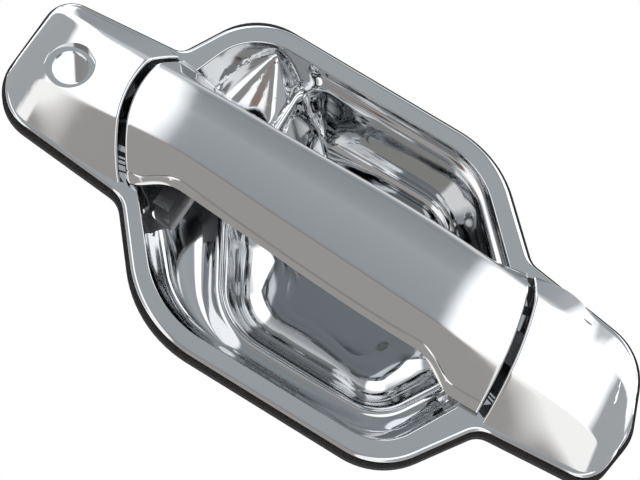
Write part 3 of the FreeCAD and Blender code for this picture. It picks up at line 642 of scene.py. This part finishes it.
def buildStrap():
    b, p = barSizes, strapSizes
    rearRadius, frontRadius = b["rearGap"][2] - b["gapWidth"], b["frontGap"][2] - b["gapWidth"]
    rearX, frontX = (lambda y: rearGapX(y, rearRadius)), (lambda y: frontGapX(y, frontRadius))
    shares = endDense(p["rows"], p["length"], b["edgeRound"], True, True)
    seam = b["linerThick"]
    cut = seamCut(seam + b["seam"] + p["coverLift"])
    top = barGrid(shares, p["columns"], rearX, frontX, (True, True), cut)
    bottom = top.copy()
    bottom[..., 2] = archCurve(bottom[..., 0]) + seam + b["seam"]
    bottom[..., 1] = np.clip(bottom[..., 1], top[:, :1, 1] + 0.3, top[:, -1:, 1] - 0.3)
    cover = solidBetween("strap_cover_skin", top, bottom)
    finishPiece(cover)
    paintGapShade(cover)
    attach(cover, "strap")
    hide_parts("strap_cover")
    rings = []
    for lift, dip in ((seam - b["seam"], 0.35), (seam - 0.35, 0.0), (1.6, 0.0)):
        side = barGrid(shares, 2, rearX, frontX, (True, True), seamCut(lift))
        side[:, 0, 1] += dip
        side[:, 1, 1] -= dip
        rings.append(side)
    foot = barGrid(shares, 2, rearX, frontX, (True, True), seamCut(0.02))
    for share in np.linspace(0, 1, 6)[1:]:
        turn = share * math.pi / 2
        side = foot.copy()
        side[..., 2] = archCurve(side[..., 0]) + 1.5 * (1 - math.sin(turn))
        side[:, 0, 1] = foot[:, 0, 1] + 0.4 * (1 - share) + 1.5 * (1 - math.cos(turn))
        side[:, 1, 1] = foot[:, 1, 1] - 0.4 * (1 - share) - 1.5 * (1 - math.cos(turn))
        rings.append(side)
    low = [r[:, 0] for r in rings]
    high = [r[:, 1] for r in rings]
    across = [low[-1] + (high[-1] - low[-1]) * s for s in np.linspace(0, 1, 14)[1:-1]]
    roof = [high[0] + (low[0] - high[0]) * s for s in np.linspace(0, 1, 14)[1:-1]]
    loop = np.stack(low + across + high[::-1] + roof, axis=1)
    rows, columns = loop.shape[:2]
    faces = gridFaces(rows, columns, closed=True)
    sides, span = len(low), len(across)
    under = list(range(sides - 1, sides + span + 1))
    above = [0, *range(columns - 1, columns - span - 1, -1), columns - span - 1]
    for start in (0, (rows - 1) * columns):
        faces += [tuple(start + k for k in range(sides)),
                  tuple(start + sides + span + k for k in range(sides))]
        faces += [(start + a, start + b, start + d, start + c)
                  for a, b, c, d in zip(under, under[1:], above, above[1:])]
    liner = meshPiece("strap_liner_rim", place(loop).reshape(-1, 3), faces)
    for x, y in p["screws"]:
        hole = rod("part", p["screwRadius"], (x, y, p["screwLow"]), (x, y, p["screwTop"]), 48)
        combine(liner, hole, "DIFFERENCE")
    finishPiece(liner)
    paintGapShade(liner)
    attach(liner, "strap")
    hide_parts("strap_liner")
    print("strap", len(cover.data.polygons), len(liner.data.polygons))


def newMaterial(name):
    material = bpy.data.materials.new(name)
    material.use_nodes = True
    tree = material.node_tree
    return material, tree, tree.nodes["Principled BSDF"]


# Slow tint, fine gloss change and grain, shared by every finish.
def surfaceDetail():
    group = bpy.data.node_groups.new("surfaceDetail", "ShaderNodeTree")
    for way, kind, names in (("INPUT", "Color", ("Dark", "Light")),
                             ("INPUT", "Float", ("Scale", "Smooth", "Rough", "Height")),
                             ("OUTPUT", "Color", ("Color",)), ("OUTPUT", "Float", ("Roughness",)),
                             ("OUTPUT", "Vector", ("Normal",))):
        for name in names:
            group.interface.new_socket(name=name, in_out=way, socket_type="NodeSocket" + kind)
    nodes, links = group.nodes, group.links
    start, end = nodes.new("NodeGroupInput"), nodes.new("NodeGroupOutput")
    place3 = nodes.new("ShaderNodeTexCoord")
    cloud, grain = nodes.new("ShaderNodeTexNoise"), nodes.new("ShaderNodeTexNoise")
    cloud.inputs["Detail"].default_value = 4
    grain.inputs["Detail"].default_value = 6
    larger = nodes.new("ShaderNodeMath")
    larger.operation = "MULTIPLY"
    larger.inputs[1].default_value = 9.0
    links.new(place3.outputs["Object"], cloud.inputs["Vector"])
    links.new(place3.outputs["Object"], grain.inputs["Vector"])
    links.new(start.outputs["Scale"], cloud.inputs["Scale"])
    links.new(start.outputs["Scale"], larger.inputs[0])
    links.new(larger.outputs[0], grain.inputs["Scale"])
    tint = nodes.new("ShaderNodeMix")
    tint.data_type = "RGBA"
    links.new(cloud.outputs["Fac"], tint.inputs[0])
    links.new(start.outputs["Dark"], tint.inputs[6])
    links.new(start.outputs["Light"], tint.inputs[7])
    links.new(tint.outputs[2], end.inputs["Color"])
    gloss = nodes.new("ShaderNodeMapRange")
    gloss.inputs["From Min"].default_value = 0.3
    gloss.inputs["From Max"].default_value = 0.7
    links.new(grain.outputs["Fac"], gloss.inputs["Value"])
    links.new(start.outputs["Smooth"], gloss.inputs["To Min"])
    links.new(start.outputs["Rough"], gloss.inputs["To Max"])
    links.new(gloss.outputs["Result"], end.inputs["Roughness"])
    bump = nodes.new("ShaderNodeBump")
    bump.inputs["Distance"].default_value = 0.0004
    links.new(start.outputs["Height"], bump.inputs["Strength"])
    links.new(grain.outputs["Fac"], bump.inputs["Height"])
    links.new(bump.outputs["Normal"], end.inputs["Normal"])
    return group


def finish(name, group, scale, dark, light, smoothest, roughest, height, **sockets):
    material, tree, shader = newMaterial(name)
    detail = tree.nodes.new("ShaderNodeGroup")
    detail.node_tree = group
    for key, value in (("Scale", scale), ("Dark", (*dark, 1)), ("Light", (*light, 1)), ("Smooth", smoothest),
                       ("Rough", roughest), ("Height", height)):
        detail.inputs[key].default_value = value
    tree.links.new(detail.outputs["Color"], shader.inputs["Base Color"])
    tree.links.new(detail.outputs["Roughness"], shader.inputs["Roughness"])
    if height:
        tree.links.new(detail.outputs["Normal"], shader.inputs["Normal"])
    for key, value in sockets.items():
        shader.inputs[key.replace("_", " ")].default_value = value
    return material


def buildMaterials():
    group = surfaceDetail()
    return {
        "chrome": finish("brightChrome", group, 30, (0.64, 0.655, 0.67), (0.68, 0.69, 0.70), 0.05, 0.08, 0,
                         Metallic=1.0),
        # near-black painted shade for the deep gap walls, standing in for shadow; no real black part is
        # there
        "shadow": finish("gapPaintedShade", group, 120, (0.010, 0.010, 0.011), (0.022, 0.022, 0.024), 0.25, 0.45,
                         0.2),
        "zinc": finish("castZinc", group, 160, (0.13, 0.13, 0.14), (0.22, 0.22, 0.23), 0.35, 0.55, 0.6,
                       Metallic=1.0),
        "steel": finish("zincPlatedSteel", group, 220, (0.50, 0.50, 0.46), (0.62, 0.61, 0.55), 0.22, 0.36,
                        0.2, Metallic=1.0),
        "spring": finish("springSteel", group, 240, (0.10, 0.10, 0.11), (0.20, 0.20, 0.21), 0.28, 0.42, 0.2,
                         Metallic=1.0),
        "foam": finish("blackFoam", group, 420, (0.010, 0.009, 0.009), (0.035, 0.031, 0.029), 0.75, 0.95,
                       1.0),
        "acetal": finish("whiteAcetal", group, 90, (0.74, 0.72, 0.66), (0.82, 0.80, 0.74), 0.30, 0.42, 0.15),
        "nylon": finish("greenNylon", group, 120, (0.02, 0.09, 0.055), (0.035, 0.13, 0.08), 0.38, 0.52, 0.3),
        "rubber": finish("blackRubber", group, 200, (0.012, 0.012, 0.012), (0.03, 0.03, 0.03), 0.6, 0.8,
                         0.4),
    }


nodeFinishes = {
    "zinc": ["hinge_arm", "pull_leg", "lever"],
    "steel": ["mounting_studs", "hinge_pin", "strap_screws", "arm_screws", "leg_screws", "lever_pin"],
    "spring": ["hinge_pin_ring", "lever_pin_ring", "lever_spring"],
    "foam": ["gasket"],
    "acetal": ["hinge_bushes", "lever_bushes"],
    "nylon": ["rod_clip"],
    "rubber": ["strap_rests"],
}


stageSizes = {
    "aim": (-0.0125, 0.0, -0.002), "towards": (0.1405, -1.0, -0.364), "distance": 0.8,
    "lens": 137.25, "tilt": 31.2,
    "floorZ": -0.45,
}


def buildCamera():
    s = stageSizes
    back = Vector(s["towards"]).normalized()
    along = (Vector((1, 0, 0)) - back * back.x).normalized()
    upward = back.cross(along)
    tilt = math.radians(s["tilt"])
    right = along * math.cos(tilt) + upward * math.sin(tilt)
    up = upward * math.cos(tilt) - along * math.sin(tilt)
    turn = Matrix((right, up, back)).transposed().to_4x4()
    data = bpy.data.cameras.new("camera")
    data.lens = s["lens"]
    data.sensor_width = 36
    data.clip_end = 20
    camera = bpy.data.objects.new("camera", data)
    bpy.context.scene.collection.objects.link(camera)
    camera.matrix_world = Matrix.Translation(Vector(s["aim"]) + back * s["distance"]) @ turn
    bpy.context.scene.camera = camera


# White walls stand to the left and right, with a grey strip between them; further round it is grey again.
skySizes = {
    "leftEdge": -0.40, "leftEnd": -0.95, "rightEdge": 0.13, "rightEnd": 0.75, "soft": 0.03, "endSoft": 0.12,
    "white": (1.9, 1.9, 1.93), "lowWhite": (1.35, 1.32, 1.29), "beyond": (0.50, 0.51, 0.52),
    "strip": [(0.0, (0.44, 0.42, 0.40)), (0.235, (0.46, 0.44, 0.42)), (0.25, (0.12, 0.115, 0.11)),
              (0.262, (0.12, 0.10, 0.10)), (0.272, (0.40, 0.17, 0.12)), (0.285, (0.34, 0.33, 0.32)),
              (0.42, (0.36, 0.37, 0.38)), (0.55, (0.42, 0.445, 0.465)), (0.70, (0.47, 0.50, 0.52)),
              (0.84, (0.33, 0.35, 0.37)), (0.93, (0.46, 0.48, 0.50)), (1.0, (0.55, 0.55, 0.55))],
}


def buildWorld():
    world = bpy.data.worlds.new("studio")
    bpy.context.scene.world = world
    world.use_nodes = True
    k = skySizes
    nodes, links = world.node_tree.nodes, world.node_tree.links
    nodes.clear()

    def math2(operation, a, b=None):
        node = nodes.new("ShaderNodeMath")
        node.operation = operation
        for socket, value in zip(node.inputs, (a, b)):
            if value is None:
                continue
            if isinstance(value, (int, float)):
                socket.default_value = value
            else:
                links.new(value, socket)
        return node.outputs[0]

    def ramp(value, low, high, a=0.0, b=1.0):
        node = nodes.new("ShaderNodeMapRange")
        for name, number in (("From Min", low), ("From Max", high), ("To Min", a), ("To Max", b)):
            node.inputs[name].default_value = number
        links.new(value, node.inputs["Value"])
        return node.outputs["Result"]

    def mix(share, a, b):
        node = nodes.new("ShaderNodeMix")
        node.data_type = "RGBA"
        links.new(share, node.inputs[0])
        for socket, value in ((node.inputs[6], a), (node.inputs[7], b)):
            if isinstance(value, tuple):
                socket.default_value = (*value, 1)
            else:
                links.new(value, socket)
        return node.outputs[2]

    where = nodes.new("ShaderNodeTexCoord")
    parts = nodes.new("ShaderNodeSeparateXYZ")
    links.new(where.outputs["Generated"], parts.inputs[0])
    x, z = parts.outputs[0], parts.outputs[2]
    sideways = math2("DIVIDE", x, math2("SQRT", math2("SUBTRACT", 1.0001, math2("MULTIPLY", x, x))))
    ramps = nodes.new("ShaderNodeValToRGB")
    links.new(ramp(z, -1.0, 1.0), ramps.inputs[0])
    stops = ramps.color_ramp.elements
    for position, colour in k["strip"]:
        stops.new(position).color = (*colour, 1)
    stops.remove(stops[0])
    stops.remove(stops[-1])
    white = mix(ramp(z, -0.6, 0.2), k["lowWhite"], k["white"])
    colour = ramps.outputs[0]
    for edge, end, way in ((k["leftEdge"], k["leftEnd"], -1), (k["rightEdge"], k["rightEnd"], 1)):
        away = math2("MULTIPLY", sideways, float(way))
        colour = mix(ramp(away, way * edge - k["soft"], way * edge + k["soft"]), colour, white)
        colour = mix(ramp(away, way * end - k["endSoft"], way * end + k["endSoft"]), colour, k["beyond"])
    seen = nodes.new("ShaderNodeLightPath")
    shade = mix(seen.outputs["Is Camera Ray"], colour, (1.0, 1.0, 1.0))
    sky, end = nodes.new("ShaderNodeBackground"), nodes.new("ShaderNodeOutputWorld")
    links.new(shade, sky.inputs["Color"])
    links.new(sky.outputs[0], end.inputs["Surface"])


def buildStage():
    deselect()
    bpy.ops.mesh.primitive_plane_add(size=14, location=(0, 0, stageSizes["floorZ"]))
    floor = bpy.context.object
    floor.name = "floor"
    floor.visible_glossy = False
    material, _, shader = newMaterial("paleFloor")
    shader.inputs["Base Color"].default_value = (0.86, 0.86, 0.86, 1)
    shader.inputs["Roughness"].default_value = 0.8
    floor.data.materials.append(material)
    bpy.context.scene.view_settings.view_transform = "Standard"


materials = buildMaterials()
buildBezel()
buildStrap()
for finishName, names in nodeFinishes.items():
    for name in names:
        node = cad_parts[name]
        for slot in node.material_slots:
            slot.material = materials[finishName]
buildCamera()
buildWorld()
buildStage()
print("stage ready")
